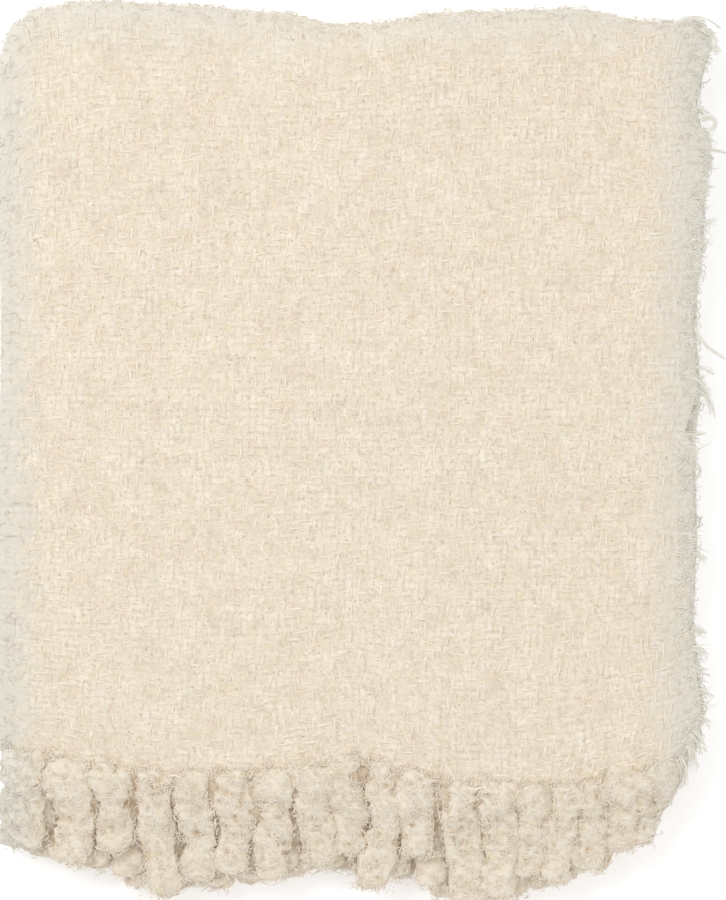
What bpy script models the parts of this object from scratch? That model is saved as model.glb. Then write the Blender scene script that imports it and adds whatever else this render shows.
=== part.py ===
"""A throw blanket folded into a flat stack, with a fringe of thick tassels along the near side.

Metres, +Z up, the underside on z = 0 and the fringe towards -Y.
One sheet of cloth is folded in thirds across, which gives a section of three plies joined by a fold at
each side. That section then runs along a path folded twice, so that twelve plies lie in the stack.
"""

import math

import bmesh
import bpy

MM = 0.001

# Cloth
PLY = 2.7 * MM
LAYER_PITCH = 3.5 * MM
GROUP_PITCH = 3 * LAYER_PITCH
GROUP_HALF = LAYER_PITCH + PLY / 2

# Where the folded stack lies before it is given its uneven outline
LEFT = -220.0 * MM
RIGHT = 207.0 * MM
SELVEDGE_REACH = 3.1 * MM
FAR = 272.0 * MM
NEAR = -198.0 * MM
INNER_NEAR = -189.0 * MM

# Heights of the four groups of plies, from the lowest up
GROUP_HEIGHTS = [GROUP_HALF + GROUP_PITCH * level for level in range(4)]
OUTER_FOLD_RADIUS = (GROUP_HEIGHTS[3] - GROUP_HEIGHTS[0]) / 2
INNER_FOLD_RADIUS = GROUP_PITCH / 2
FAR_FOLD_CENTRE = FAR - OUTER_FOLD_RADIUS - GROUP_HALF
NEAR_FOLD_CENTRE = INNER_NEAR + INNER_FOLD_RADIUS + GROUP_HALF

# Shares of a panel's width at which its outline has a point, close together at the sides
PANEL_SHARES = (0.0, 0.03, 0.10, 0.27, 0.45, 0.62, 0.80, 0.94, 1.0)
SIDE_FOLD_STEPS = 4
# Shares of the length between the near and the far fold at which each ply has a row of points
LENGTH_SHARES = (0.0, 0.08, 0.20, 0.33, 0.46, 0.59, 0.72, 0.84, 0.94, 1.0)
OUTER_FOLD_STEPS = 8
INNER_FOLD_STEPS = 6

# Outline of the stack, in millimetres: each edge's distance out from a straight line
FAR_EDGE = (
    # across, outward
    (-224, -24),
    (-215, -7),
    (-203, 1),
    (-170, 6),
    (-110, 3),
    (-55, -1),
    (-17, -9),
    (5, -8),
    (50, -1),
    (130, 1),
    (168, -6),
    (188, -7),
    (203, -1),
    (214, -13),
)
NEAR_EDGE = (
    # across, inward
    (-224, 17),
    (-205, 9),
    (-160, 2),
    (-120, -3),
    (-70, -3),
    (-34, 0),
    (-6, 7),
    (22, 0),
    (66, -9),
    (125, -12),
    (160, -6),
    (190, 1),
    (212, 10),
)
RIGHT_EDGE = (
    # along, outward
    (-262, -26),
    (-234, -22),
    (-214, -13),
    (-196, -4),
    (-170, 3),
    (-130, -1),
    (-75, -4),
    (-25, -5),
    (25, -1),
    (55, -3),
    (80, -4),
    (125, 3),
    (175, 5),
    (220, 4),
    (248, 7),
    (272, 3),
)
LEFT_EDGE = (
    # along, outward
    (-262, 0),
    (-180, 2),
    (-60, 2),
    (60, 0),
    (190, 2),
    (272, 1),
)

# Tassels of the uppermost ply from left to right, in millimetres
TASSELS = (
    # across, lean, reach
    (-210, -6, 58),
    (-180, -1, 64),
    (-155, 1, 58),
    (-130, 4, 72),
    (-106, 1, 69),
    (-81, -1, 68),
    (-55, -3, 65),
    (-32, -1, 63),
    (-10, 2, 62),
    (11, -4, 80),
    (34, -1, 60),
    (59, 2, 76),
    (86, -2, 71),
    (109, -3, 63),
    (132, -5, 62),
    (154, -4, 60),
    (175, 2, 54),
    (196, 4, 50),
)
# Each tier from the lowest up: its shift as a share of the space between tassels, and what it lacks in reach
TIERS = (
    # shift, short
    (0.40, 0),
    (-0.20, 3),
    (0.50, 2),
    (-0.35, 0),
    (0.45, 2),
    (0.00, 4),
)
OUTERMOST_SHIFT = 5.0
STRIP_GAP = 0.3 * MM
STRIP_DEPTH = 4.7 * MM
ROOT_DEPTH = 2.0 * MM
TASSEL_WIDTH = 19.0 * MM
TASSEL_THICKNESS = 2.8 * MM
TASSEL_CLEARANCE = 3.4 * MM
TASSEL_FLOOR = 0.2 * MM
# Size of a tassel at set distances from its root in millimetres, as a share of the full section, and at its tip
TASSEL_PROFILE = (
    # distance, size
    (0, 0.72),
    (8, 0.84),
    (18, 1.0),
    (30, 0.90),
    (43, 1.0),
)
TIP_SIZE = 0.55
# How the tiers come down from the cloth's end to lie on the surface
SETTLE_START = 4.0 * MM
SETTLE_RUN = 41.0 * MM
LOWEST_TIER = GROUP_HEIGHTS[2] - GROUP_HALF + TASSEL_FLOOR
TOP_TIER = GROUP_HEIGHTS[3] + GROUP_HALF - PLY - (LAYER_PITCH - PLY) / 2
BED_STRETCH = 1.42
TOP_STRETCH = 2.7


def eased(share):
    """0 to 1 with level ends, for any share."""
    share = min(max(share, 0.0), 1.0)
    return share * share * (3.0 - 2.0 * share)


def along(table, at):
    """The second column of a table in millimetres, eased between its rows, for a place in metres."""
    place = at / MM
    if place <= table[0][0]:
        return table[0][1] * MM
    for (start, low), (end, high) in zip(table, table[1:]):
        if place <= end:
            return (low + (high - low) * eased((place - start) / (end - start))) * MM
    return table[-1][1] * MM


def settled(y, z):
    """Height of a point once the tassels beyond the cloth's end have come down."""
    bed = (min(z, TOP_TIER) - LOWEST_TIER) * BED_STRETCH
    bed += max(z - TOP_TIER, 0.0) * TOP_STRETCH
    beyond = NEAR - STRIP_GAP - STRIP_DEPTH - y
    down = eased((beyond - SETTLE_START) / SETTLE_RUN)
    return z + (bed - z) * down


def softness(x, y):
    """How high the stack stands at a point, as a share of its even height."""
    share = 1.0
    share -= 0.10 * eased((x - 180 * MM) / (32 * MM))
    share -= 0.05 * eased((-205 * MM - x) / (18 * MM))
    share -= 0.05 * eased((-168 * MM - y) / (30 * MM))
    share += 0.018 * math.sin(x * 17.0 + y * 9.0 + 0.6)
    share += 0.016 * math.sin(y * 21.0 - x * 7.0 + 2.1)
    return share


def laid(x, y, z):
    """Where a point of the even stack lies in the real one, with its uneven edges and soft top."""
    if y < NEAR - STRIP_GAP - STRIP_DEPTH:
        z = settled(y, z)
    height = z * softness(x, y)
    far = eased((y - 80 * MM) / (155 * MM)) * along(FAR_EDGE, x)
    near = eased((-50 * MM - y) / (135 * MM)) * along(NEAR_EDGE, x)
    right = eased((x - 70 * MM) / (125 * MM)) * along(RIGHT_EDGE, y)
    left = eased((-120 * MM - x) / (90 * MM)) * along(LEFT_EDGE, y)
    slip = 1.8 * MM * math.sin(z * 260.0 + y * 6.0 + 1.0)
    return x + right - left + slip, y + far + near, height


def clear_scene():
    for item in list(bpy.data.objects):
        bpy.data.objects.remove(item, do_unlink=True)


def new_collection(name):
    collection = bpy.data.collections.new(name)
    bpy.context.scene.collection.children.link(collection)
    return collection


def outline_points(flip):
    """The closed outline of one ply lying in three panels. flip is -1 where the section is upside down."""
    stations = []
    width = RIGHT - LEFT
    for share in reversed(PANEL_SHARES):
        stations.append((LEFT + width * share, LAYER_PITCH, 0.0, -1.0))
    stations[0] = (RIGHT + SELVEDGE_REACH, LAYER_PITCH, 0.0, -1.0)
    for step in range(1, SIDE_FOLD_STEPS):
        angle = math.pi * (0.5 + step / SIDE_FOLD_STEPS)
        across, up = math.cos(angle), math.sin(angle)
        stations.append((LEFT + across * LAYER_PITCH / 2, LAYER_PITCH / 2 * (1 + up), -across, -up))
    for share in PANEL_SHARES:
        stations.append((LEFT + width * share, 0.0, 0.0, 1.0))
    for step in range(1, SIDE_FOLD_STEPS):
        angle = math.pi * (0.5 - step / SIDE_FOLD_STEPS)
        across, up = math.cos(angle), math.sin(angle)
        stations.append((RIGHT + across * LAYER_PITCH / 2, LAYER_PITCH / 2 * (up - 1), across, up))
    for share in reversed(PANEL_SHARES):
        stations.append((LEFT + width * share, -LAYER_PITCH, 0.0, -1.0))
    stations[-1] = (LEFT - SELVEDGE_REACH, -LAYER_PITCH, 0.0, -1.0)
    one_side = [(x + PLY / 2 * across, flip * (y + PLY / 2 * up)) for x, y, across, up in stations]
    other_side = [(x - PLY / 2 * across, flip * (y - PLY / 2 * up)) for x, y, across, up in stations]
    return one_side + other_side[::-1]


def outline_object(name, points, collection):
    """A closed flat curve that other curves are swept with."""
    curve = bpy.data.curves.new(name, "CURVE")
    curve.dimensions = "2D"
    curve.fill_mode = "NONE"
    spline = curve.splines.new("POLY")
    spline.points.add(len(points) - 1)
    for point, (x, y) in zip(spline.points, points):
        point.co = (x, y, 0.0, 1.0)
    spline.use_cyclic_u = True
    item = bpy.data.objects.new(name, curve)
    item.hide_render = True
    item.display_type = "WIRE"
    collection.objects.link(item)
    return item


def swept_mesh(name, path, sizes, outline, collection, capped=True):
    """The mesh of an outline carried along a path."""
    curve = bpy.data.curves.new(name, "CURVE")
    curve.dimensions = "3D"
    curve.twist_mode = "MINIMUM"
    curve.bevel_mode = "OBJECT"
    curve.bevel_object = outline
    curve.use_fill_caps = capped
    spline = curve.splines.new("POLY")
    spline.points.add(len(path) - 1)
    for point, place, size in zip(spline.points, path, sizes):
        point.co = (*place, 1.0)
        point.radius = size
    item = bpy.data.objects.new(name, curve)
    collection.objects.link(item)
    depsgraph = bpy.context.evaluated_depsgraph_get()
    mesh = bpy.data.meshes.new_from_object(item.evaluated_get(depsgraph))
    mesh.transform(item.matrix_world)
    bpy.data.objects.remove(item, do_unlink=True)
    shape = bmesh.new()
    shape.from_mesh(mesh)
    bmesh.ops.remove_doubles(shape, verts=shape.verts, dist=0.000005)
    bmesh.ops.recalc_face_normals(shape, faces=shape.faces)
    shape.to_mesh(mesh)
    shape.free()
    mesh.name = name
    return mesh


def folded_mesh(name, path, outline, collection):
    """The three-panel section carried along a path, its two ends closed ply by ply."""
    mesh = swept_mesh(name, path, [1.0] * len(path), outline, collection, capped=False)
    shape = bmesh.new()
    shape.from_mesh(mesh)
    shape.verts.ensure_lookup_table()
    around = len(outline.data.splines[0].points)
    for first in (0, len(shape.verts) - around):
        ring = [shape.verts[first + step] for step in range(around)]
        for step in range(around // 2 - 1):
            corners = (ring[step], ring[step + 1], ring[around - 2 - step], ring[around - 1 - step])
            shape.faces.new(corners)
    bmesh.ops.recalc_face_normals(shape, faces=shape.faces)
    shape.to_mesh(mesh)
    shape.free()
    return mesh


def arc(centre_y, centre_z, radius, start, turn, steps):
    """The inner points of a half turn of the folding path."""
    points = []
    for step in range(1, steps):
        angle = start + turn * math.pi * step / steps
        points.append((0.0, centre_y + radius * math.cos(angle), centre_z + radius * math.sin(angle)))
    return points


def folding_path():
    """From the uppermost end over the far fold, along the bottom, and back through the two inner folds."""
    reach = FAR_FOLD_CENTRE - NEAR_FOLD_CENTRE
    rows = [NEAR_FOLD_CENTRE + reach * share for share in LENGTH_SHARES]
    bottom, second, third, top = GROUP_HEIGHTS
    middle = (bottom + top) / 2
    path = [(0.0, NEAR, top)] + [(0.0, y, top) for y in rows]
    path += arc(FAR_FOLD_CENTRE, middle, OUTER_FOLD_RADIUS, math.pi / 2, -1, OUTER_FOLD_STEPS)
    path += [(0.0, y, bottom) for y in reversed(rows)]
    path += arc(NEAR_FOLD_CENTRE, (bottom + second) / 2, INNER_FOLD_RADIUS, -math.pi / 2, -1, INNER_FOLD_STEPS)
    path += [(0.0, y, second) for y in rows]
    path += arc(FAR_FOLD_CENTRE, middle, INNER_FOLD_RADIUS, -math.pi / 2, 1, INNER_FOLD_STEPS)
    path += [(0.0, y, third) for y in reversed(rows)] + [(0.0, NEAR, third)]
    return path


def tassel_row(number, tier):
    """Place, lean and reach of a tassel in millimetres: each tier lies between those above and below."""
    row = TASSELS[number]
    shift, short = TIERS[tier]
    beside = number + (1 if shift > 0 else -1)
    if 0 <= beside < len(TASSELS):
        across, lean, reach = [own + abs(shift) * (other - own) for own, other in zip(row, TASSELS[beside])]
    else:
        across, lean, reach = row[0] + OUTERMOST_SHIFT * shift, row[1], row[2]
    return across, lean, reach - short - 2.0 * math.sin(2.3 * number + 1.9 * tier)


def tassel_path(number, tier, bottom):
    """Path along the underside of one tassel before it settles, and its size at each point."""
    across, lean, reach = tassel_row(number, tier)
    root = NEAR - STRIP_GAP - STRIP_DEPTH
    path = [(across * MM, root + ROOT_DEPTH, bottom)]
    sizes = [TASSEL_PROFILE[0][1]]
    for distance, size in (*TASSEL_PROFILE[1:], (reach, TIP_SIZE)):
        share = distance / reach
        sway = 1.5 * math.sin(5.2 * share + 0.5 * number + 0.8 * tier) * share
        x = across + lean * share * share + sway
        path.append((x * MM, root - distance * MM, bottom))
        sizes.append(size)
    return path, sizes


def tassel_outline(number, tier, collection):
    """Four-sided section, level below and narrower above, as wide as the nearer neighbour leaves it."""
    places = [tassel_row(other, tier)[0] * MM for other in range(len(TASSELS))]
    nearest = min(abs(places[number] - place) for other, place in enumerate(places) if other != number)
    half = min(TASSEL_WIDTH, nearest - TASSEL_CLEARANCE) / 2
    top = 0.72 * half
    corners = [(-half, 0.0), (half, 0.0), (top, TASSEL_THICKNESS), (-top, TASSEL_THICKNESS)]
    return outline_object(f"tassel_outline_{tier}_{number}", corners, collection)


def settle_mesh(mesh):
    """Gives a mesh the uneven outline and soft top, keeping its flat faces whole."""
    shape = bmesh.new()
    shape.from_mesh(mesh)
    bmesh.ops.triangulate(shape, faces=shape.faces)
    for point in shape.verts:
        point.co = laid(*point.co)
    bmesh.ops.recalc_face_normals(shape, faces=shape.faces)
    shape.to_mesh(mesh)
    shape.free()


def fringe_mesh(name, group, flip, guides):
    """The tassels of one end in three tiers, fused to the strip that they are rooted in."""
    height = GROUP_HEIGHTS[group]
    strip_outline = outline_object(f"{name}_strip_outline", outline_points(flip), guides)
    back = NEAR - STRIP_GAP
    strip_path = [(0.0, back - STRIP_DEPTH, height), (0.0, back, height)]
    strip = bpy.data.objects.new(name, folded_mesh(name, strip_path, strip_outline, guides))
    guides.objects.link(strip)
    locks = bmesh.new()
    for layer in range(3):
        tier = 3 * (group - 2) + layer
        bottom = height + LAYER_PITCH * (layer - 1) - PLY / 2 + TASSEL_FLOOR
        for number in range(len(TASSELS)):
            path, sizes = tassel_path(number, tier, bottom)
            outline = tassel_outline(number, tier, guides)
            mesh = swept_mesh("lock", path, sizes, outline, guides)
            locks.from_mesh(mesh)
            bpy.data.meshes.remove(mesh)
    locks_mesh = bpy.data.meshes.new(f"{name}_locks")
    locks.to_mesh(locks_mesh)
    locks.free()
    cutter = bpy.data.objects.new(f"{name}_locks", locks_mesh)
    cutter.hide_render = True
    cutter.display_type = "WIRE"
    guides.objects.link(cutter)
    union = strip.modifiers.new("union", "BOOLEAN")
    union.operation = "UNION"
    union.solver = "EXACT"
    union.object = cutter
    depsgraph = bpy.context.evaluated_depsgraph_get()
    mesh = bpy.data.meshes.new_from_object(strip.evaluated_get(depsgraph))
    bpy.data.objects.remove(strip, do_unlink=True)
    bpy.data.objects.remove(cutter, do_unlink=True)
    settle_mesh(mesh)
    return mesh


def fabric(name, colour):
    """Rough woollen cloth in one colour."""
    material = bpy.data.materials.new(name)
    material.use_nodes = True
    shader = material.node_tree.nodes["Principled BSDF"]
    shader.inputs["Base Color"].default_value = (*colour, 1.0)
    shader.inputs["Roughness"].default_value = 0.92
    shader.inputs["Metallic"].default_value = 0.0
    return material


def centre_all(items):
    """Moves every mesh alike, so that the whole stands centred over the origin."""
    corners = [point.co for item in items for point in item.data.vertices]
    shift_x = -(min(c.x for c in corners) + max(c.x for c in corners)) / 2
    shift_y = -(min(c.y for c in corners) + max(c.y for c in corners)) / 2
    for item in items:
        for point in item.data.vertices:
            point.co.x += shift_x
            point.co.y += shift_y


def main():
    clear_scene()
    part = new_collection("throw_blanket")
    guides = new_collection("guides")

    section = outline_object("section", outline_points(1.0), guides)
    throw = folded_mesh("throw", folding_path(), section, guides)
    settle_mesh(throw)

    top = fringe_mesh("fringe_top", 3, 1.0, guides)
    second = fringe_mesh("fringe_second", 2, -1.0, guides)

    looks = (
        ("throw", throw, (0.823, 0.723, 0.584)),
        ("fringe_top", top, (0.753, 0.665, 0.539)),
        ("fringe_second", second, (0.694, 0.610, 0.491)),
    )
    items = []
    for name, mesh, colour in looks:
        mesh.materials.clear()
        mesh.materials.append(fabric(f"{name} wool", colour))
        item = bpy.data.objects.new(name, mesh)
        part.objects.link(item)
        items.append(item)
    centre_all(items)


main()
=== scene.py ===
"""A folded throw blanket of brushed cream wool twill with thick curly tassels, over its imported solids."""

import math

import bmesh
import bpy
import numpy as np
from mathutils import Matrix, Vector


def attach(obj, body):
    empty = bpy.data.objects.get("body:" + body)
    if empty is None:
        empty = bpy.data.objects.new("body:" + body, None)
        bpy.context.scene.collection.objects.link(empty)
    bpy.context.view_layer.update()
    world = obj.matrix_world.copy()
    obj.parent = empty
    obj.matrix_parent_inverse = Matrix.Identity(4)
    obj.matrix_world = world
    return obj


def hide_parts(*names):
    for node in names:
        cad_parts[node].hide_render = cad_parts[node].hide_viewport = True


bl_info = {
    "name": "Folded throw blanket",
    "version": (1, 0, 0),
    "blender": (4, 5, 0),
    "location": "View3D > Sidebar > Throw",
    "description": "Builds a folded, brushed twill throw with tasselled ends over its solids",
    "category": "Add Mesh",
}

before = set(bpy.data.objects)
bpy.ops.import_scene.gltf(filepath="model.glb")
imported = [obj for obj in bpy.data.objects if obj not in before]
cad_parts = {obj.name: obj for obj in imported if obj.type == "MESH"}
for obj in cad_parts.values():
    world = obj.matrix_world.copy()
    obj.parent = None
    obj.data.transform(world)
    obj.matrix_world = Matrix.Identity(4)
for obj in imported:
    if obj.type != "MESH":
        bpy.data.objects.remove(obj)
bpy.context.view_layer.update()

MM = 0.001

# How the throw is folded: the same stack as its solids
LAYER_PITCH = 3.5 * MM
GROUP_PITCH = 3 * LAYER_PITCH
SOLID_PLY = 2.7 * MM
GROUP_HALF = LAYER_PITCH + SOLID_PLY / 2
LEFT = -220.0 * MM
RIGHT = 207.0 * MM
SIDE_REACH = 3.1 * MM
FAR = 272.0 * MM
NEAR = -198.0 * MM
INNER_NEAR = -189.0 * MM
STRIP = 5.0 * MM
FLOOR_LIFT = 2.0 * MM
GROUP_HEIGHTS = [GROUP_HALF + GROUP_PITCH * level for level in range(4)]
OUTER_FOLD_RADIUS = (GROUP_HEIGHTS[3] - GROUP_HEIGHTS[0]) / 2
INNER_FOLD_RADIUS = GROUP_PITCH / 2
FAR_FOLD_CENTRE = FAR - OUTER_FOLD_RADIUS - GROUP_HALF
NEAR_FOLD_CENTRE = INNER_NEAR + INNER_FOLD_RADIUS + GROUP_HALF
CENTRING = (4.071 * MM, 4.379 * MM)

# Height of the view from above, at the level of the cloth's upper side
VIEW_HEIGHT = 558.0 * MM
TOP_LEVEL = 35.0 * MM

# Where the first thread and the first pick lie, and how many follow before the twill breaks
FIRST_THREAD = LEFT + 5.0 * MM
FIRST_PICK = 3.0 * MM
THREAD_BREAK = 15
PICK_BREAK = 22

# Outline of the stack, in millimetres: how far each edge lies from a straight line
FAR_EDGE = (
    # across, outward
    (-224, -24),
    (-215, -7),
    (-203, 1),
    (-170, 6),
    (-110, 3),
    (-55, -1),
    (-17, -9),
    (5, -8),
    (50, -1),
    (130, 1),
    (168, -6),
    (188, -7),
    (203, -5),
    (214, -13),
)
NEAR_EDGE = (
    # across, inward
    (-224, 17),
    (-205, 9),
    (-160, 2),
    (-120, -3),
    (-70, -3),
    (-34, 0),
    (-6, 7),
    (22, 0),
    (66, -9),
    (125, -12),
    (160, -6),
    (190, 1),
    (212, 10),
)
RIGHT_EDGE = (
    # along, outward
    (-262, -26),
    (-234, -22),
    (-214, -13),
    (-196, -4),
    (-170, 3),
    (-130, -1),
    (-75, -4),
    (-25, -5),
    (25, -1),
    (55, -3),
    (80, -4),
    (125, 3),
    (175, 5),
    (220, 4),
    (248, 7),
    (272, 3),
)
# How far the ragged right side bites in from the line above
RIGHT_RAGS = (
    # along, outward
    (-262, 0),
    (-198, 0),
    (-160, -3),
    (-133, -3),
    (-116, -5),
    (-97, -3),
    (-70, 0),
    (2, 0),
    (10, -8),
    (22, -5),
    (33, 0),
    (128, -3),
    (140, -4),
    (155, -4),
    (170, -2),
    (186, 0),
    (200, 0),
    (212, -8),
    (237, -10),
    (251, -5),
    (260, 0),
    (272, 0),
)
LEFT_EDGE = (
    # along, outward
    (-262, 0),
    (-180, 2),
    (-60, 2),
    (60, 0),
    (190, 2),
    (272, 1),
)

# Tassels of the uppermost ply from left to right, in millimetres
TASSELS = (
    # across, lean, reach, width at the root, space to the next on the right (negative where they merge)
    (-210, -8, 60, 1.20, -3),
    (-180, -1, 64, 1.25, 3),
    (-155, 1, 58, 1.12, 4),
    (-130, 4, 75, 1.12, 3),
    (-106, 1, 67, 1.06, 4),
    (-81, -1, 66, 1.00, 4),
    (-55, -3, 65, 1.06, 3),
    (-32, -1, 63, 1.18, -5),
    (-10, 2, 62, 0.85, 4),
    (11, -7, 78, 0.85, -1),
    (34, -1, 56, 1.00, 5),
    (59, 2, 76, 0.95, 1),
    (86, -2, 70, 1.16, 3),
    (109, -3, 60, 1.06, 3),
    (132, -5, 58, 0.92, 3),
    (154, -4, 55, 1.08, -5),
    (175, 0, 50, 1.22, -5),
    (196, -3, 46, 1.05, 2),
)
# Each tier from the lowest up: its shift as a share of the space between tassels, and its lack of reach
TIERS = (
    # shift, short
    (0.40, 0),
    (-0.20, 3),
    (0.50, 2),
    (-0.35, 0),
    (0.45, 2),
    (0.00, 4),
)
# The most that an outermost tassel is shifted, in millimetres
OUTERMOST_SHIFT = 5.0
# Width of a tassel along its length, as a share of its full width
TASSEL_SIZES = (
    # distance, size
    (-6, 0.85),
    (0, 1.0),
    (9, 1.0),
    (20, 0.96),
    (31, 1.0),
    (44, 0.95),
    (58, 1.0),
    (80, 0.92),
)
# How the fringe comes down beyond the cloth's end: where it starts to, over what run, from which
# heights, and how much thicker its layers then lie
SETTLE_START = 4.0 * MM
SETTLE_RUN = 41.0 * MM
LOWEST_TIER = GROUP_HEIGHTS[2] - GROUP_HALF + 0.2 * MM
TOP_TIER = GROUP_HEIGHTS[3] + GROUP_HALF - SOLID_PLY - (LAYER_PITCH - SOLID_PLY) / 2
BED_STRETCH = 1.42
TOP_STRETCH = 2.7

# Loose strands along the selvedge and the near end, in each wisp and in each loop
SELVEDGE_STRANDS = 1000
NEAR_END_STRANDS = 1500
WISP_STRANDS = 12
LOOP_STRANDS = 7
# Heights at which wisps and loops leave the selvedge, in millimetres
WISP_LEVEL = 36.5
LOOP_LEVEL = 34.5
# Strands that splay from a tassel's end: tier, strands
TIP_STRANDS = (
    (5, 44),
    (4, 26),
    (3, 22),
)

# Locks of wool that stand out from the uppermost selvedge, in millimetres
WISPS = (
    # from across, from along, to across, to along, bow, radius, shortest strand
    (196, 267, 226, 264, 6.0, 0.40, 0.94),
    (199, 268, 217, 266, 3.6, 0.35, 0.92),
    (214, 264, 224, 254, 1.5, 1.60, 0.60),
    (212, 256, 225, 249, 1.0, 2.20, 0.60),
    (211, 249, 221, 244, -1.0, 2.00, 0.60),
    (207, 214, 219, 211, 2.0, 1.60, 0.60),
    (210, 190, 229, 187, 0.6, 0.90, 0.80),
    (207, 157, 219, 153, 1.0, 1.90, 0.60),
    (207, 146, 223, 145, -1.5, 1.80, 0.70),
    (207, 132, 220, 129, 1.0, 1.60, 0.60),
    (209, 80, 229, 59, -3.0, 0.80, 0.85),
    (209, 54, 222, 50, 1.0, 1.00, 0.70),
    (208, 48, 219, 33, 2.0, 2.00, 0.60),
    (210, 42, 223, 22, 2.5, 1.80, 0.60),
    (202, 13, 217, 14, -0.8, 1.00, 0.70),
    (206, -2, 211, -5, 1.0, 1.60, 0.60),
    (208, -62, 217, -65, 1.0, 1.20, 0.60),
    (207, -108, 217, -113, 1.2, 1.80, 0.60),
    (207, -120, 219, -125, 1.2, 2.00, 0.60),
    (208, -131, 221, -136, -1.0, 2.10, 0.60),
    (209, -145, 221, -151, 1.0, 2.00, 0.60),
    (208, -160, 220, -168, 1.0, 2.00, 0.60),
    (207, -172, 216, -186, 1.5, 2.10, 0.60),
    (205, -180, 209, -197, 1.0, 2.20, 0.60),
    (200, -188, 204, -205, 1.0, 2.20, 0.60),
)
# Open loops of yarn beside the selvedge, in millimetres
LOOPS = (
    # across, along, half width, half length, radius
    (218, 205, 4.3, 4.8, 1.1),
    (210, -10, 3.0, 4.6, 0.8),
)
# Weft yarn that shows along the cloth's near end, in millimetres
WEFT_ENDS = (
    # from across, to across, how far in from the end
    (-119, -97, 1.0),
    (-61, -47, 2.0),
    (32, 46, 1.0),
    (66, 86, 0.5),
    (120, 131, 1.5),
)


def linear(code):
    """A linear colour from an sRGB hex code."""
    values = [int(code[at : at + 2], 16) / 255 for at in (0, 2, 4)]
    return [v / 12.92 if v <= 0.04045 else ((v + 0.055) / 1.055) ** 2.4 for v in values]


def millimetres(name, description, size):
    """A size that a user may change, given in millimetres."""
    return bpy.props.FloatProperty(name=name, description=description, default=size * MM, unit="LENGTH")


def tint(name, description, code):
    """A colour that a user may change, given as an sRGB hex code."""
    value = linear(code)
    return bpy.props.FloatVectorProperty(name=name, description=description, subtype="COLOR", default=value)


class ThrowSizes(bpy.types.PropertyGroup):
    """Sizes of the cloth, its yarns and its tassels."""

    ply: millimetres("Ply", "Thickness of one layer with its pile", 3.0)
    thread_pitch: millimetres("Thread pitch", "Space from one thread to the next", 4.6)
    yarn_radius: millimetres("Yarn radius", "Radius of the yarn where it floats", 0.75)
    pile_length: millimetres("Pile length", "Length of a brushed fibre", 8.0)
    pile_radius: millimetres("Pile radius", "Radius of a brushed fibre", 0.14)
    pile_count: bpy.props.IntProperty(
        name="Pile count", description="Brushed fibres to the square metre", default=42000
    )
    tassel_width: millimetres("Tassel width", "Full width of a tassel", 19.5)
    top_tassel_height: millimetres("Top tassel height", "Height of a tassel that nothing lies on", 9.0)
    tassel_height: millimetres("Tassel height", "Height of a tassel that others lie on", 5.0)
    curl_length: millimetres("Curl length", "Length of a curl on a tassel", 4.0)
    curl_radius: millimetres("Curl radius", "Radius of a curl's yarn", 0.30)


class ThrowColours(bpy.types.PropertyGroup):
    """Colours of the wool."""

    wool: tint("Wool", "Main colour of the cloth", "EADBC7")
    pale: tint("Pale wool", "Colour of the fluffiest wool", "F3E6D4")
    # Bright wool is the palest of the mottled tone; on the yarn floats it makes their painted highlight
    bright: tint("Bright wool", "Colour of the smoothest yarns", "FBF1E1")
    # Deep wool is the dark end of the mottled tone; where the twill's height sets the tone it is also
    # painted shade between the yarns
    deep: tint("Deep wool", "Colour between the yarns", "DAC9B1")
    fleck: tint("Fleck", "Colour of the small dark flecks", "A8947A")
    rosy: tint("Rosy wool", "A warm drift of the colour", "F0DDD0")
    yellow: tint("Yellow wool", "A golden drift of the colour", "EEDFBF")
    greenish: tint("Greenish wool", "A cool drift of the colour", "E2DDC8")
    # Painted shade: the cooler grey laid over the stack's sides and far fold, and the shaded tone of the
    # strands there
    selvedge: tint("Selvedge wool", "Colour of the ragged sides", "E1DED4")
    fray_bright: tint("Bright fray", "Colour of the finest loose ends of the selvedge", "F3F1EA")
    fray: tint("Fray", "Colour of the loose ends of the selvedge", "EBE8E0")
    tassel: tint("Tassel wool", "Colour of the tassels", "EEE3D2")
    crest: tint("Tassel crests", "Colour of the raised curls of the tassels", "F8F1E6")
    dip: tint("Tassel dips", "Colour between the curls of the tassels", "D9CBB5")
    curl_bright: tint("Bright curls", "Colour of the finest loose curls", "FDF7EC")
    curl: tint("Curls", "Colour of the loose curls", "F5ECDE")
    # Painted shade: a brown laid into the tassels' pits, undersides and roots, where shade falls among the
    # curls
    painted_shade: tint("Tassel hollows", "Colour deep in the tassels", "C4A987")


def sizes():
    """The sizes as they stand in the sidebar."""
    return bpy.context.scene.throw_sizes


def colours():
    """The colours as they stand in the sidebar."""
    return bpy.context.scene.throw_colours


def eased(share):
    """0 to 1 with level ends, for any shares."""
    share = np.clip(share, 0.0, 1.0)
    return share * share * (3.0 - 2.0 * share)


def past(place, start, run):
    """0 to 1 as a place in metres goes past a start, over a run. Both are in millimetres."""
    return eased((place - start * MM) / (run * MM))


def along(table, at):
    """The second column of a table in millimetres, eased between its rows, for places in metres."""
    rows = np.array(table, float) * MM
    low = np.clip(np.searchsorted(rows[:, 0], at) - 1, 0, len(rows) - 2)
    share = eased((at - rows[low, 0]) / (rows[low + 1, 0] - rows[low, 0]))
    return rows[low, 1] + (rows[low + 1, 1] - rows[low, 1]) * share


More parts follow.
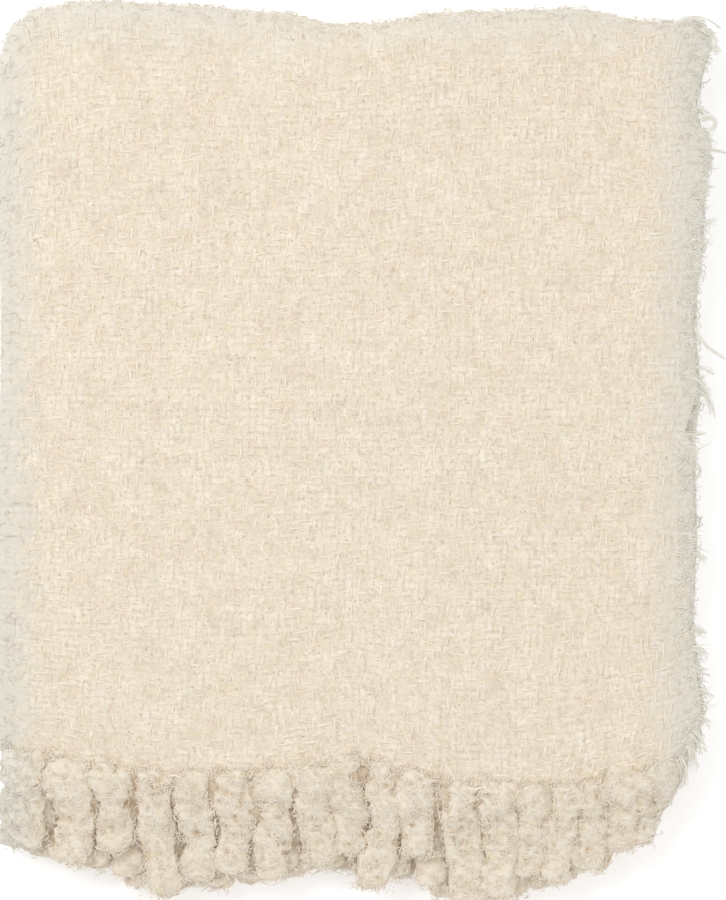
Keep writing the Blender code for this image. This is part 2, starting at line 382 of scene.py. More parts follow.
def lumps(points, size, seed):
    """Smooth unevenness from -1 to 1 at each point, with about one lump to each size."""
    place = np.asarray(points, float) / size + 1000.5
    cell = np.floor(place).astype(np.int64)
    inside = place - cell
    weight = inside * inside * (3.0 - 2.0 * inside)
    total = np.zeros(len(place))
    for corner in range(8):
        step = np.array([corner & 1, corner >> 1 & 1, corner >> 2 & 1])
        at = cell + step
        mixed = at[:, 0] * 73856093 ^ at[:, 1] * 19349663 ^ at[:, 2] * 83492791 ^ (seed * 2654435761)
        mixed = (mixed ^ mixed >> 13) * 1274126177
        value = ((mixed ^ mixed >> 16) & 0xFFFF) / 32767.5 - 1.0
        total += value * np.prod(np.where(step, weight, 1.0 - weight), axis=1)
    return total


def settled(y, z):
    """Heights of points once the tassels beyond the cloth's end have come down."""
    bed = (np.minimum(z, TOP_TIER) - LOWEST_TIER) * BED_STRETCH
    bed += np.maximum(z - TOP_TIER, 0.0) * TOP_STRETCH
    down = eased((NEAR - STRIP - y - SETTLE_START) / SETTLE_RUN)
    return z + (bed - z) * down


def softness(x, y):
    """How high the stack stands at each point, as a share of its even height."""
    share = 1.0 - 0.10 * past(x, start=180, run=32)
    share -= 0.05 * past(-x, start=205, run=18)
    share -= 0.05 * past(-y, start=168, run=30)
    share += 0.018 * np.sin(x * 17.0 + y * 9.0 + 0.6)
    share += 0.016 * np.sin(y * 21.0 - x * 7.0 + 2.1)
    flat = np.stack([x, y, np.zeros_like(x)], 1)
    return share + 0.007 * lumps(flat, 45 * MM, 3) + 0.004 * lumps(flat, 17 * MM, 4)


def raised(points):
    """How clearly the weave shows at each point: in patches, where the cloth is less felted."""
    flat = np.asarray(points, float) * (1.0, 1.0, 0.0)
    return np.clip(0.5 + 0.65 * lumps(flat, 14 * MM, 15) + 0.50 * lumps(flat, 6.5 * MM, 16), 0.0, 1.0)


def laid(points):
    """Where points of the even stack lie in the real one, with its uneven edges and soft top."""
    x, y, z = np.asarray(points, float).T
    z = np.where(y < NEAR - STRIP, settled(y, z), z)
    height = z * softness(x, y)
    far = past(y, start=80, run=155) * along(FAR_EDGE, x)
    near = past(-y, start=50, run=135) * along(NEAR_EDGE, x)
    right = past(x, start=70, run=125) * along(RIGHT_EDGE, y)
    right += past(x, start=140, run=60) * along(RIGHT_RAGS, y)
    left = past(-x, start=120, run=90) * along(LEFT_EDGE, y)
    slip = 1.8 * MM * np.sin(z * 260.0 + y * 6.0 + 1.0)
    shifted = [x + right - left + slip + CENTRING[0], y + far + near + CENTRING[1], height]
    return np.stack(shifted, 1)


def mesh_object(name, points, faces):
    """A smooth piece from its points and faces."""
    mesh = bpy.data.meshes.new(name)
    mesh.from_pydata([tuple(p) for p in points], [], [tuple(int(v) for v in f) for f in faces])
    mesh.polygons.foreach_set("use_smooth", [True] * len(mesh.polygons))
    mesh.update()
    item = bpy.data.objects.new(name, mesh)
    bpy.context.scene.collection.objects.link(item)
    return item


def closed_object(name, points, faces):
    """A piece without gaps whose faces all point out."""
    item = mesh_object(name, points, faces)
    shape = bmesh.new()
    shape.from_mesh(item.data)
    bmesh.ops.recalc_face_normals(shape, faces=shape.faces)
    shape.to_mesh(item.data)
    shape.free()
    return item


def tube_faces(first, rings, around):
    """Faces between successive closed rings of points."""
    faces = []
    for ring in range(rings - 1):
        base = first + ring * around
        for at in range(around):
            beside = (at + 1) % around
            faces.append((base + at, base + beside, base + around + beside, base + around + at))
    return faces


def vertex_values(item, label):
    """The places (co) or the outward directions (normal) of a piece's vertices, a row for each."""
    values = np.empty(len(item.data.vertices) * 3)
    item.data.vertices.foreach_get(label, values)
    return values.reshape(-1, 3)


def kinked(item, reach, size):
    """Shifts the points of a piece sideways by wool's unevenness, so that straight yarns turn crooked."""
    place = vertex_values(item, "co")
    place[:, :2] += reach * np.stack([lumps(place, size, 71), lumps(place, size, 72)], 1)
    item.data.vertices.foreach_set("co", place.ravel())
    item.data.update()


def finish_piece(item, replaced):
    """Ties a finished piece to the frame."""
    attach(item, "root")
    if replaced:
        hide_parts(*replaced)


def node(tree, kind, inputs=None, **settings):
    """Adds one node: settings are its properties, and inputs are values or the outputs that feed it."""
    made = tree.nodes.new(kind)
    for name, value in settings.items():
        setattr(made, name, value)
    for key, value in (inputs or {}).items():
        if isinstance(value, bpy.types.NodeSocket):
            tree.links.new(value, made.inputs[key])
        else:
            made.inputs[key].default_value = value
    return made


def reckoned(tree, operation, *values):
    """The result of one operation on single values."""
    return node(tree, "ShaderNodeMath", dict(enumerate(values)), operation=operation).outputs[0]


def reckoned_vector(tree, operation, *values):
    """The result of one operation on vectors."""
    return node(tree, "ShaderNodeVectorMath", dict(enumerate(values)), operation=operation).outputs[0]


def combined(tree, **parts):
    """A vector made of single values, each under the name of its axis."""
    return node(tree, "ShaderNodeCombineXYZ", parts).outputs[0]


# Materials


def noise(tree, place, size, detail=2.0, distortion=0.0):
    """Wool's unevenness with lumps of about one size in metres."""
    settings = {"Vector": place, "Scale": 1.0 / size, "Detail": detail, "Distortion": distortion}
    return node(tree, "ShaderNodeTexNoise", settings)


def ramp(tree, value, stops):
    """Colours along a value, from given stops."""
    made = node(tree, "ShaderNodeValToRGB", {"Fac": value})
    steps = made.color_ramp.elements
    steps[0].position, steps[0].color = stops[0][0], (*stops[0][1], 1.0)
    steps[1].position, steps[1].color = stops[-1][0], (*stops[-1][1], 1.0)
    for position, colour in stops[1:-1]:
        steps.new(position).color = (*colour, 1.0)
    return made.outputs["Color"]


def blend(tree, factor, first, second):
    """One colour mixed into another by a factor."""
    inputs = {"Factor": factor}
    for key, value in ((6, first), (7, second)):
        inputs[key] = value if isinstance(value, bpy.types.NodeSocket) else (*value, 1.0)
    return node(tree, "ShaderNodeMix", inputs, data_type="RGBA").outputs[2]


def weighed(tree, parts):
    """The weighted sum of several values."""
    total = 0.0
    for value, weight in parts:
        total = reckoned(tree, "MULTIPLY_ADD", value, weight, total)
    return total


def streaks(tree, place, stretch, size):
    """Unevenness drawn out along a thread, finer across it by the stretch of each axis."""
    return noise(tree, reckoned_vector(tree, "MULTIPLY", place, stretch), size, 2.0, 0.3).outputs["Fac"]


def stepped(tree, value, low, high, least, most):
    """A value taken from one range to another and kept inside it."""
    settings = {"Value": value, "From Min": low, "From Max": high, "To Min": least, "To Max": most}
    return node(tree, "ShaderNodeMapRange", settings).outputs["Result"]


def twill(tree):
    """Height of the woven surface from its flat place: rounded threads, each over two and under two."""
    flat = node(tree, "ShaderNodeUVMap", uv_map="flat cloth").outputs[0]
    wander = noise(tree, flat, 22 * MM, 2.0).outputs["Color"]
    loose = reckoned_vector(tree, "MULTIPLY_ADD", wander, (3 * MM, 3 * MM, 0.0), flat)
    kinks = noise(tree, flat, 3.2 * MM, 1.0).outputs["Color"]
    loose = reckoned_vector(tree, "MULTIPLY_ADD", kinks, (2.2 * MM, 2.2 * MM, 0.0), loose)
    pitch = sizes().thread_pitch
    origin = (RIGHT + SIDE_REACH - FIRST_THREAD, STRIP + FIRST_PICK, 0.0)
    moved = reckoned_vector(tree, "SUBTRACT", loose, origin)
    scaled = reckoned_vector(tree, "MULTIPLY", moved, (-1 / pitch, 1 / pitch, 0.0))
    whole = reckoned_vector(tree, "FLOOR", scaled)
    part = reckoned_vector(tree, "FRACTION", scaled)
    thread, pick = node(tree, "ShaderNodeSeparateXYZ", {0: whole}).outputs[:2]
    sides = node(tree, "ShaderNodeSeparateXYZ", {0: part}).outputs[:2]
    breaks = []
    for value, count in ((thread, THREAD_BREAK), (pick, PICK_BREAK)):
        breaks.append(reckoned(tree, "FLOOR", reckoned(tree, "DIVIDE", value, count)))
    order = weighed(tree, [(pick, 1.0), (thread, -1.0), (breaks[0], 2.0), (breaks[1], 1.0)])
    turn = reckoned(tree, "FLOORED_MODULO", order, 4.0)
    warp_over = reckoned(tree, "LESS_THAN", turn, 1.5)
    rounds = []
    for side in sides:
        middle = reckoned(tree, "SUBTRACT", side, 0.5)
        square = reckoned(tree, "MULTIPLY", middle, middle)
        rounds.append(weighed(tree, [(1.0, 1.0), (square, -4.0)]))
    over = {"Factor": warp_over, 2: rounds[1], 3: rounds[0]}
    return node(tree, "ShaderNodeMix", over, data_type="FLOAT").outputs[0]


def woven_parts(tree, place, woven):
    """How the weave shows in brushed wool, in patches and streaks: its shares of the tone and the height."""
    clear = stepped(tree, noise(tree, place, 12 * MM, 2.0).outputs["Fac"], 0.40, 0.60, 0.0, 1.0)
    felted = stepped(tree, clear, 0.0, 1.0, 0.25 * woven, woven)
    threads = reckoned(tree, "MULTIPLY", twill(tree), felted)
    upright = streaks(tree, place, (4.5, 1.0, 1.0), 9 * MM)
    level = streaks(tree, place, (1.0, 4.5, 1.0), 9 * MM)
    drawn = weighed(tree, [(upright, 0.6), (level, 0.4)])
    pulled = stepped(tree, drawn, 0.40, 0.60, -0.05, 0.12)
    seen = stepped(tree, clear, 0.0, 1.0, 0.5, 1.0)
    slubs = reckoned(tree, "MULTIPLY", pulled, seen)
    # The twill's height also sets a share of the tone: painted highlight on the raised threads and painted
    # shade between them
    return [(slubs, 0.85), (threads, 0.12)], [(threads, 1.0), (drawn, 1.2)]


def tinged(tree, place, colour):
    """A colour whose hue drifts a little from place to place."""
    c = colours()
    drift = noise(tree, place, 4.5 * MM, 2.0, 0.5)
    hue = node(tree, "ShaderNodeSeparateColor", {"Color": drift.outputs["Color"]}).outputs
    for channel, share, tinge in ((0, 0.55, c.rosy), (1, 0.60, c.yellow), (2, 0.50, c.greenish)):
        colour = blend(tree, stepped(tree, hue[channel], 0.52, 0.72, 0.0, share), colour, tinge)
    return colour


def painted_edge_shade(tree, place, tufts, colour):
    """A colour that turns greyer towards the sides and the far fold: painted shade where the stack's edges
    round off and fall away from the light.
    """
    across, lengthways = node(tree, "ShaderNodeSeparateXYZ", {0: place}).outputs[:2]
    ragged = weighed(tree, [(across, 1.0), (tufts, 44 * MM)])
    far = weighed(tree, [(lengthways, 1.0), (tufts, 40 * MM)])
    for value, start, end, most in (
        (far, 266, 298, 0.60),
        (ragged, 200, 232, 0.78),
        (ragged, -172, -196, 0.75),
    ):
        share = stepped(tree, value, start * MM, end * MM, 0.0, most)
        colour = blend(tree, share, colour, colours().selvedge)
    return colour


def flecked(tree, place, tufts, fibres, colour, fleck, most):
    """A colour with small round flecks, more of them in some places than in others."""
    dots = {"Vector": place, "Scale": 1.0 / (3.6 * MM)}
    spots = node(tree, "ShaderNodeTexVoronoi", dots).outputs["Distance"]
    uneven = weighed(tree, [(spots, 1.0), (fibres, 0.5)])
    near = stepped(tree, uneven, 0.50, 0.34, 0.0, most)
    shown = stepped(tree, tufts, 0.51, 0.58, 0.0, 1.0)
    return blend(tree, reckoned(tree, "MULTIPLY", near, shown), colour, fleck)


def wool(name, tones, fleck, fleck_share, fuzz_size, relief, swirl=1.2, woven=0.0, painted_shade=None, painted_glow=0.0):
    """Brushed wool: matt, with a soft bright rim, mottled tone, drifting hue and small round flecks, greyer
    towards the stack's edges with painted shade.
    Loose wool has a painted glow: an emission that stands in for the light that scatters among its fibres."""
    pale, main, deep = tones
    material = bpy.data.materials.new(name)
    material.use_nodes = True
    tree = material.node_tree
    tree.nodes.clear()
    place = node(tree, "ShaderNodeTexCoord").outputs["Object"]
    patches = noise(tree, place, 38 * MM, 2.0).outputs["Fac"]
    tufts = noise(tree, place, 8 * MM, 3.0, 0.4).outputs["Fac"]
    fibres = noise(tree, place, fuzz_size, 3.0, swirl).outputs["Fac"]
    parts = [(patches, 0.10), (tufts, 0.30), (fibres, 0.60)]
    lifts = [(fibres, 0.7), (tufts, 0.6)]
    if woven:
        shades, heights = woven_parts(tree, place, woven)
        parts = [(0.05, 1.0), (patches, 0.08), (tufts, 0.20), (fibres, 0.57), *shades]
        lifts += heights
    stops = [(0.40, deep), (0.50, main), (0.60, pale), (0.72, colours().bright)]
    colour = tinged(tree, place, ramp(tree, weighed(tree, parts), stops))
    # Painted shade: the attribute's share, broken up by the wool's unevenness, browns the colour where shade
    # falls
    if painted_shade:
        depth = node(tree, "ShaderNodeAttribute", attribute_name="painted_shade").outputs["Fac"]
        patchy = weighed(tree, [(depth, 1.0), (fibres, 0.9), (tufts, 0.5)])
        colour = blend(tree, stepped(tree, patchy, 0.68, 1.55, 0.0, 0.88), colour, painted_shade)
    colour = painted_edge_shade(tree, place, tufts, colour)
    colour = flecked(tree, place, tufts, fibres, colour, fleck, fleck_share)
    height = {"Strength": 0.75, "Distance": relief, "Height": weighed(tree, lifts)}
    looks = {
        "Base Color": colour,
        "Roughness": 0.95,
        "IOR": 1.5,
        "Specular IOR Level": 0.15,
        "Sheen Weight": 0.30,
        "Sheen Roughness": 0.6,
        "Emission Color": colour,
        # Painted glow: an emission in the wool's own colour that lifts its shaded parts, though it is no
        # lamp
        "Emission Strength": painted_glow,
        "Normal": node(tree, "ShaderNodeBump", height).outputs["Normal"],
    }
    shader = node(tree, "ShaderNodeBsdfPrincipled", looks)
    node(tree, "ShaderNodeOutputMaterial", {"Surface": shader.outputs[0]})
    return material


def cloth_wool():
    """Brushed twill cloth: cream and felted, with small brown flecks."""
    c = colours()
    return wool("brushed wool twill", (c.pale, c.wool, c.deep), c.fleck, 0.5, 1.6 * MM, 0.7 * MM, woven=0.8)


def yarn_wool():
    """Yarn where it floats over its neighbours: paler, as a painted highlight on the raised yarn, with a
    painted glow.
    """
    c = colours()
    return wool("raised wool yarn", (c.bright, c.pale, c.pale), c.deep, 0.3, 2.4 * MM, 0.4 * MM, painted_glow=0.05)


def pile_wool():
    """Loose fibres brushed up from the cloth: thin, and near the cloth in tone, with a painted glow."""
    c = colours()
    return wool("brushed wool pile", (c.bright, c.pale, c.pale), c.wool, 0.1, 2.0 * MM, 0.2 * MM, painted_glow=0.08)


def tassel_wool():
    """Curly wool of the tassels in small fluffy lumps, with a painted glow and painted shade: browner in the
    pits, the undersides and the roots under the tiers above.
    """
    c = colours()
    looks = {"swirl": 2.0, "painted_shade": c.painted_shade, "painted_glow": 0.07}
    return wool("curly wool tassel", (c.crest, c.tassel, c.dip), c.deep, 0.2, 1.7 * MM, 0.9 * MM, **looks)


def selvedge_wool():
    """Wool that stands out from the sides: greyer, as painted shade of the stack's falling edges, with a
    painted glow.
    """
    c = colours()
    tones = (c.fray_bright, c.fray, c.selvedge)
    return wool("frayed selvedge wool", tones, c.selvedge, 0.1, 1.5 * MM, 0.2 * MM, painted_glow=0.13)


def curl_wool():
    """Loose curls and splayed ends of the tassels: pale, thin wool, with a painted glow."""
    c = colours()
    tones = (c.curl_bright, c.curl, c.tassel)
    return wool("loose wool curl", tones, c.deep, 0.1, 1.5 * MM, 0.2 * MM, painted_glow=0.08)


# Cloth


def panel_shares(count):
    """Shares of a panel's width, closer together at its two sides."""
    even = np.linspace(0.0, 1.0, count)
    return 0.72 * even + 0.28 * (0.5 - 0.5 * np.cos(math.pi * even))


def fold_round(across, up, radius, first, turn, steps, outward):
    """Stations round a fold, by its centre and radius. Its angles are shares of a half circle."""
    rows = []
    for step in range(1, steps):
        angle = math.pi * (first + turn * step / steps)
        beside, above = math.cos(angle), math.sin(angle)
        rows.append((across + radius * beside, up + radius * above, outward * beside, outward * above, 1.0))
    return rows


def section_stations(outer_count, inner_count, fold_steps):
    """The folded section from the upper selvedge to the lower: across, up, outward direction, thickness."""
    width = RIGHT - LEFT
    radius = LAYER_PITCH / 2
    rows = []
    for across, share in ((SIDE_REACH, 0.30), (SIDE_REACH - 0.5 * MM, 0.75), (SIDE_REACH - 1.6 * MM, 1.0)):
        rows.append((RIGHT + across, LAYER_PITCH, 0.0, -1.0, share))
    for share in panel_shares(outer_count)[::-1]:
        rows.append((LEFT + width * share, LAYER_PITCH, 0.0, -1.0, 1.0))
    rows += fold_round(LEFT, radius, radius, 0.5, 1.0, fold_steps, -1.0)
    for share in panel_shares(inner_count):
        rows.append((LEFT + width * share, 0.0, 0.0, 1.0, 1.0))
    rows += fold_round(RIGHT, -radius, radius, 0.5, -1.0, fold_steps, 1.0)
    for share in panel_shares(inner_count)[::-1]:
        rows.append((LEFT + width * share, -LAYER_PITCH, 0.0, -1.0, 1.0))
    for across, share in ((SIDE_REACH - 1.6 * MM, 1.0), (SIDE_REACH - 0.5 * MM, 0.75), (SIDE_REACH, 0.30)):
        rows.append((LEFT - across, -LAYER_PITCH, 0.0, -1.0, share))
    return np.array(rows)


def folding_stations(outer_count, inner_count, outer_steps, inner_steps):
    """The folding path from the uppermost end to the other: along, up, outward direction, thickness."""
    bottom, second, third, top = GROUP_HEIGHTS
    middle = (bottom + top) / 2
    near_middle = (bottom + second) / 2
    rows = []
    tips = ((STRIP, 0.35), (STRIP - 0.6 * MM, 0.8), (STRIP - 1.8 * MM, 1.0), (0.0, 1.0))
    for beyond, share in tips:
        rows.append((NEAR - beyond, top, 0.0, 1.0, share))
    rows += [(y, top, 0.0, 1.0, 1.0) for y in np.linspace(NEAR + 5 * MM, FAR_FOLD_CENTRE, outer_count)]
    run = np.linspace(NEAR_FOLD_CENTRE, FAR_FOLD_CENTRE, inner_count)
    rows += fold_round(FAR_FOLD_CENTRE, middle, OUTER_FOLD_RADIUS, 0.5, -1.0, outer_steps, 1.0)
    rows += [(y, bottom, 0.0, -1.0, 1.0) for y in run[::-1]]
    rows += fold_round(NEAR_FOLD_CENTRE, near_middle, INNER_FOLD_RADIUS, -0.5, -1.0, inner_steps, 1.0)
    rows += [(y, second, 0.0, 1.0, 1.0) for y in run]
    rows += fold_round(FAR_FOLD_CENTRE, middle, INNER_FOLD_RADIUS, -0.5, 1.0, inner_steps, -1.0)
    rows += [(y, third, 0.0, -1.0, 1.0) for y in run[::-1]]
    for beyond, share in tips[::-1]:
        rows.append((NEAR - beyond, third, 0.0, -1.0, share))
    return np.array(rows)


def travelled(rows):
    """Distance along the first two columns of a table of stations."""
    steps = np.linalg.norm(np.diff(rows[:, :2], axis=0), axis=1)
    return np.concatenate([[0.0], np.cumsum(steps)])


def scallop(x):
    """How far the cloth's ends reach out over their tassels, and in between them."""
    places = np.array([row[0] for row in TASSELS]) * MM
    order = np.interp(x, places, np.arange(len(places)))
    return (0.9 * np.cos(order * 2 * math.pi) + 0.8 * np.sin(x * 331.0) + 0.5 * np.sin(x * 877.0)) * MM


def folded_cloth(name):
    """The whole cloth as one closed sheet folded both ways, with its flat place in metres as a UV map."""
    section = section_stations(100, 26, 6)
    path = folding_stations(56, 15, 16, 8)
    half = sizes().ply / 2
    upper = section[:, :2] + half * section[:, 4:5] * section[:, 2:4]
    lower = section[:, :2] - half * section[:, 4:5] * section[:, 2:4]
    middle = np.concatenate([section[:, :2], section[::-1, :2]])
    ring = np.concatenate([upper, lower[::-1]])
    ring_flat = np.concatenate([travelled(section), travelled(section)[::-1]])
    count, rows = len(ring), len(path)
    lifted = middle[None] + (ring - middle)[None] * path[:, None, 4:5]
    points = np.empty((rows, count, 3))
    points[..., 0] = lifted[..., 0]
    points[..., 1] = path[:, None, 0] + lifted[..., 1] * path[:, None, 2]
    points[..., 2] = path[:, None, 1] + lifted[..., 1] * path[:, None, 3]
    ends = eased((NEAR - points[..., 1]) / STRIP)
    points[..., 1] -= ends * scallop(points[..., 0])
    points = np.maximum(laid(points.reshape(-1, 3)), (-9.0, -9.0, 0.0))
    faces = tube_faces(0, rows, count)
    for base in (0, (rows - 1) * count):
        for at in range(count // 2 - 1):
            faces.append((base + at, base + at + 1, base + count - 2 - at, base + count - 1 - at))
    item = closed_object(name, points, faces)
    corners = np.empty(len(item.data.loops), np.int32)
    item.data.loops.foreach_get("vertex_index", corners)
    row, at = np.divmod(corners, count)
    flat = np.stack([ring_flat[at], travelled(path)[row]], 1)
    item.data.uv_layers.new(name="flat cloth").data.foreach_set("uv", flat.ravel())
    return item


def top_surface(across, run):
    """Points on the outside of the uppermost ply, in the even stack: over the top and down the far fold."""
    flat = FAR_FOLD_CENTRE - NEAR
    radius = OUTER_FOLD_RADIUS + LAYER_PITCH + sizes().ply / 2
    middle = (GROUP_HEIGHTS[0] + GROUP_HEIGHTS[3]) / 2
    angle = np.clip((run - flat) / radius, 0.0, math.pi / 2)
    y = np.where(run < flat, NEAR + run, FAR_FOLD_CENTRE + radius * np.sin(angle))
    return np.stack([across, y, middle + radius * np.cos(angle)], 1)


def weave(threads, picks):
    """Where the warp lies on top in a two-and-two twill whose diagonals break every so often."""
    thread, pick = np.meshgrid(np.arange(threads), np.arange(picks), indexing="ij")
    return (pick - thread + 2 * (thread // THREAD_BREAK) + pick // PICK_BREAK) % 4 < 2


def runs_of(line):
    """Start and length of each run of true values in a line."""
    edges = np.flatnonzero(np.diff(np.concatenate([[0], line.astype(int), [0]])))
    return [(start, end - start) for start, end in zip(edges[::2], edges[1::2])]


def floats(threads, picks, warp_wise):
    """The thread, the pick and the length of each float of the warp or the weft."""
    over = weave(threads, picks)
    found = []
    if warp_wise:
        for thread in range(threads):
            found += [(thread, start + (length - 1) / 2, length) for start, length in runs_of(over[thread])]
    else:
        for pick in range(picks):
            found += [(start + (length - 1) / 2, pick, length) for start, length in runs_of(~over[:, pick])]
    return np.array(found, float)


def float_anchors(name, warp_wise):
    """A point for each float of the warp or the weft, with its direction, outward direction and length."""
    pitch = sizes().thread_pitch
    threads = int((RIGHT - LEFT - 6 * MM) / pitch)
    picks = int((FAR_FOLD_CENTRE - NEAR + 22 * MM) / pitch)
    found = floats(threads, picks, warp_wise)
    across = FIRST_THREAD + (found[:, 0] + 0.5) * pitch
    run = FIRST_PICK + (found[:, 1] + 0.5) * pitch
    flat = np.stack([across, run, np.zeros(len(run))], 1)
    sunk = 1.3 * raised(flat) - 0.65 + 0.35 * lumps(flat, 4.7 * MM, 17)
    sunk -= 0.0 if warp_wise else 0.15
    side = np.minimum(across - LEFT - 2 * MM, RIGHT - 9 * MM - across) + 2 * MM * lumps(flat, 8 * MM, 21)
    far = FAR_FOLD_CENTRE - NEAR + 14 * MM - run + 3 * MM * lumps(flat, 8 * MM, 22)
    sunk -= 1.2 * eased((7 * MM - np.minimum(side, far)) / (9 * MM))
    shown = sunk > -0.30
    found, across, run, flat, sunk = found[shown], across[shown], run[shown], flat[shown], sunk[shown]
    across = across + 0.9 * MM * lumps(flat, 40 * MM, 11) + 0.60 * MM * lumps(flat, 4 * MM, 12)
    run = run + 1.1 * MM * lumps(flat, 55 * MM, 13) + 0.60 * MM * lumps(flat, 4 * MM, 14)
    here = laid(top_surface(across, run))
    step = 0.5 * MM
    sideways = laid(top_surface(across + step, run)) - here
    lengthways = laid(top_surface(across, run + step)) - here
    outward = np.cross(sideways, lengthways)
    outward /= np.linalg.norm(outward, axis=1)[:, None]
    direction = lengthways if warp_wise else sideways
    direction /= np.linalg.norm(direction, axis=1)[:, None]
    item = mesh_object(name, here + outward * ((0.50 * sunk - 0.02) * MM)[:, None], [])
    for label, values in (("direction", direction), ("outward", outward)):
        item.data.attributes.new(label, "FLOAT_VECTOR", "POINT").data.foreach_set("vector", values.ravel())
    spans = (np.minimum(found[:, 2], 2.4) + 0.15 + 0.45 * lumps(flat, 4.1 * MM, 18)) * pitch
    item.data.attributes.new("span", "FLOAT", "POINT").data.foreach_set("value", spans)
    return item


def tree_inputs(name, wanted):
    """A new geometry tree with a geometry input and output and named inputs of its own."""
    tree = bpy.data.node_groups.new(name, "GeometryNodeTree")
    tree.interface.new_socket("Geometry", in_out="INPUT", socket_type="NodeSocketGeometry")
    for label, kind in wanted:
        tree.interface.new_socket(label, in_out="INPUT", socket_type=f"NodeSocket{kind}")
    tree.interface.new_socket("Geometry", in_out="OUTPUT", socket_type="NodeSocketGeometry")
    return tree, node(tree, "NodeGroupInput").outputs


def attribute(tree, label, kind):
    """A value that a mesh carries under a name."""
    return node(tree, "GeometryNodeInputNamedAttribute", {"Name": label}, data_type=kind).outputs[0]


def rotated(tree, rotation, turn):
    """A rotation followed by a turn about its own axes."""
    inputs = {"Rotation": rotation, "Rotate By": turn}
    return node(tree, "FunctionNodeRotateRotation", inputs, rotation_space="LOCAL").outputs[0]


def random_values(tree, given, kind, least, most):
    """The node of a random number or vector for each point."""
    inputs = {"Seed": given["Seed"]}
    if kind == "FLOAT":
        inputs.update({2: least, 3: most})
    else:
        inputs.update({"Min": least, "Max": most})
    return node(tree, "FunctionNodeRandomValue", inputs, data_type=kind)


def strewn(tree, given, points, strand, rotation, scale):
    """Ends a tree: one strand on each point, as smooth mesh of the given wool."""
    inputs = {"Points": points, "Instance": strand, "Rotation": rotation, "Scale": scale}
    placed = node(tree, "GeometryNodeInstanceOnPoints", inputs)
    whole = node(tree, "GeometryNodeRealizeInstances", {"Geometry": placed.outputs[0]})
    smooth = node(tree, "GeometryNodeSetShadeSmooth", {"Geometry": whole.outputs[0]})
    looks = {"Geometry": smooth.outputs[0], "Material": given["Wool"]}
    dressed = node(tree, "GeometryNodeSetMaterial", looks)
    node(tree, "NodeGroupOutput", {"Geometry": dressed.outputs[0]})
    return tree


def swept(tree, bow, steps, sides, radius):
    """A closed tube along a bow, given by its start, the corner that pulls it up, and its end."""
    start, middle, end = bow
    inputs = {"Resolution": steps, "Start": start, "Middle": middle, "End": end}
    line = node(tree, "GeometryNodeCurveQuadraticBezier", inputs).outputs[0]
    ring = node(tree, "GeometryNodeCurvePrimitiveCircle", {"Resolution": sides, "Radius": radius})
    inputs = {"Curve": line, "Profile Curve": ring.outputs[0], "Fill Caps": True}
    return node(tree, "GeometryNodeCurveToMesh", inputs).outputs[0]


def float_tree():
    """Lays one arched length of yarn on each anchor, along the thread."""
    wanted = [(label, "Float") for label in ("Radius", "Rise", "Sink")]
    tree, given = tree_inputs("yarn floats", [*wanted, ("Seed", "Int"), ("Wool", "Material")])
    low = reckoned(tree, "MULTIPLY", given["Sink"], -1.0)
    start, end = [combined(tree, X=x, Z=low) for x in (-0.5, 0.5)]
    yarn = swept(tree, (start, combined(tree, Z=given["Rise"]), end), 4, 4, given["Radius"])
    outward = {"Vector": attribute(tree, "outward", "FLOAT_VECTOR")}
    upright = node(tree, "FunctionNodeAlignRotationToVector", outward, axis="Z").outputs[0]
    ahead = {"Rotation": upright, "Vector": attribute(tree, "direction", "FLOAT_VECTOR")}
    turned = node(tree, "FunctionNodeAlignRotationToVector", ahead, axis="X", pivot_axis="Z").outputs[0]
    most = (0.05, 0.04, 0.20)
    wander = random_values(tree, given, "FLOAT_VECTOR", [-v for v in most], most).outputs[0]
    plump = random_values(tree, given, "FLOAT", 0.6, 1.25).outputs[1]
    scale = combined(tree, X=attribute(tree, "span", "FLOAT"), Y=plump, Z=plump)
    return strewn(tree, given, given["Geometry"], yarn, rotated(tree, turned, wander), scale)


def fibre_tree():
    """Scatters bowed fibres over a surface, as thickly as its attribute pile says, leaning every way."""
    wanted = [(label, "Float") for label in ("Count", "Length", "Bow", "Lift", "Radius")]
    wanted += [("Steps", "Int"), ("Seed", "Int"), ("Wool", "Material")]
    tree, given = tree_inputs("loose fibres", wanted)
    density = reckoned(tree, "MULTIPLY", attribute(tree, "pile", "FLOAT"), given["Count"])
    inputs = {"Mesh": given["Geometry"], "Density": density, "Seed": given["Seed"]}
    spread = node(tree, "GeometryNodeDistributePointsOnFaces", inputs, distribute_method="RANDOM").outputs
    half = reckoned(tree, "MULTIPLY", given["Length"], 0.5)
    middle = combined(tree, X=half, Y=given["Bow"], Z=given["Lift"])
    bow = ((0.0, 0.0, 0.0), middle, combined(tree, X=given["Length"]))
    fibre = swept(tree, bow, given["Steps"], 3, given["Radius"])
    turn = random_values(tree, given, "FLOAT_VECTOR", (-0.5, -0.42, 0.0), (0.5, 0.10, 6.283)).outputs[0]
    spin = node(tree, "ShaderNodeSeparateXYZ", {0: turn}).outputs
    turned = rotated(tree, spread["Rotation"], combined(tree, Z=spin[2]))
    tipped = rotated(tree, turned, combined(tree, X=spin[0], Y=spin[1]))
    size = random_values(tree, given, "FLOAT", 0.55, 1.35).outputs[1]
    return strewn(tree, given, spread["Points"], fibre, tipped, size)


